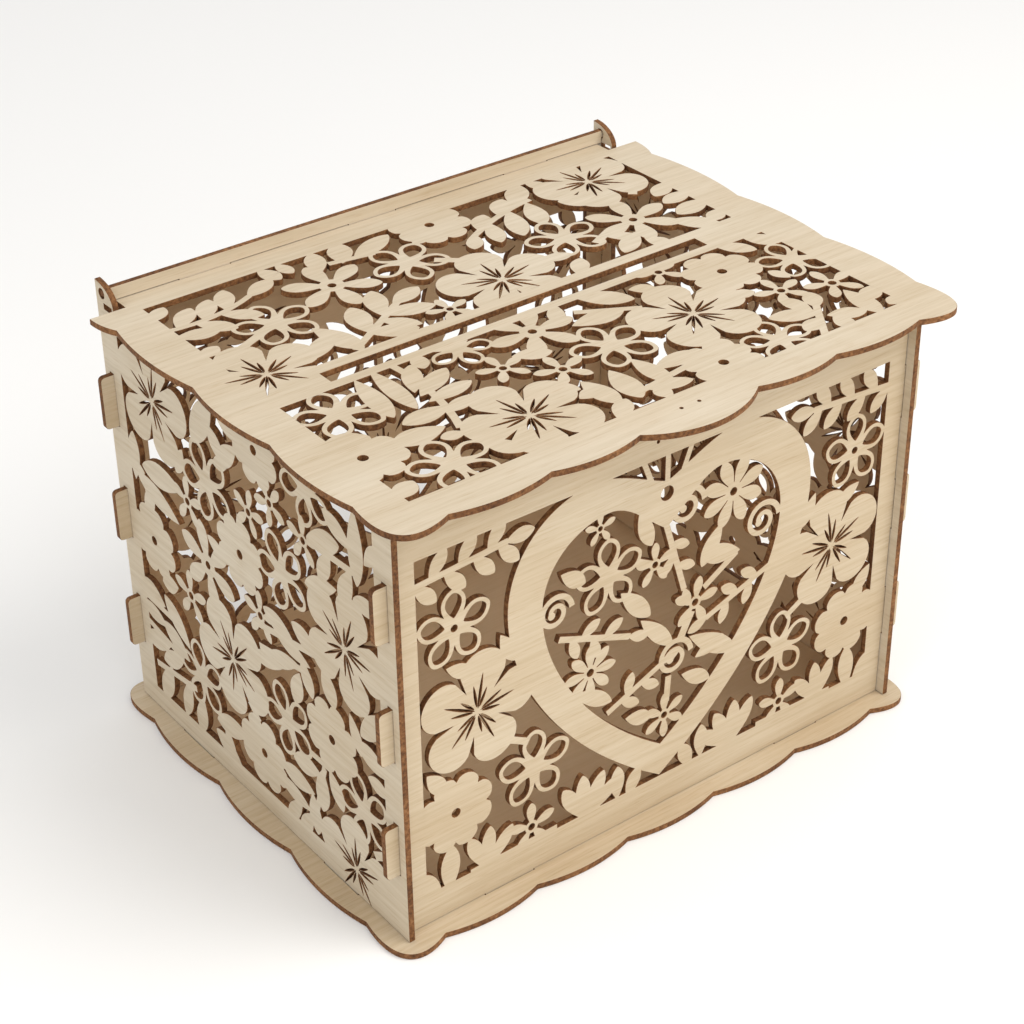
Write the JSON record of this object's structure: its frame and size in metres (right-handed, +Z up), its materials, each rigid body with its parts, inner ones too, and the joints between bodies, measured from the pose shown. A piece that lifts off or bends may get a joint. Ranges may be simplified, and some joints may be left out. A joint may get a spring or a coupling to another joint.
{
  "type": "wedding card box",
  "caption": "Flat-pack ply gift card box with pierced floral panels, a posting slot and a hinged lid.",
  "frame": {"origin": "centre of the base plate's underside, midway between the side panels", "axes": "+Z up, +Y towards the hinge at the back, +X to the viewer's right when facing the front panel"},
  "size_m": [0.325, 0.2722, 0.2407],
  "materials": {
    "ply_base": "raw basswood ply, laser cut",
    "ply_front": "raw basswood ply, laser cut",
    "ply_side": "raw basswood ply, laser cut",
    "ply_lid": "raw basswood ply, laser cut"
  },
  "bodies": {
    "walls": {"base_plate": "ply_base", "front_panel": "ply_front", "back_panel": "ply_front", "left_side_panel": "ply_side", "right_side_panel": "ply_side"},
    "lid": {"lid_panel": "ply_lid", "hinge_bar": "ply_lid"}
  },
  "joints": [
    {"name": "lid_hinge", "type": "hinge", "parent": "walls", "child": "lid", "pos_m": [0, 0.1135, 0.2351], "axis": [-1, 0, 0], "range_deg": [0, 100]}
  ]
}
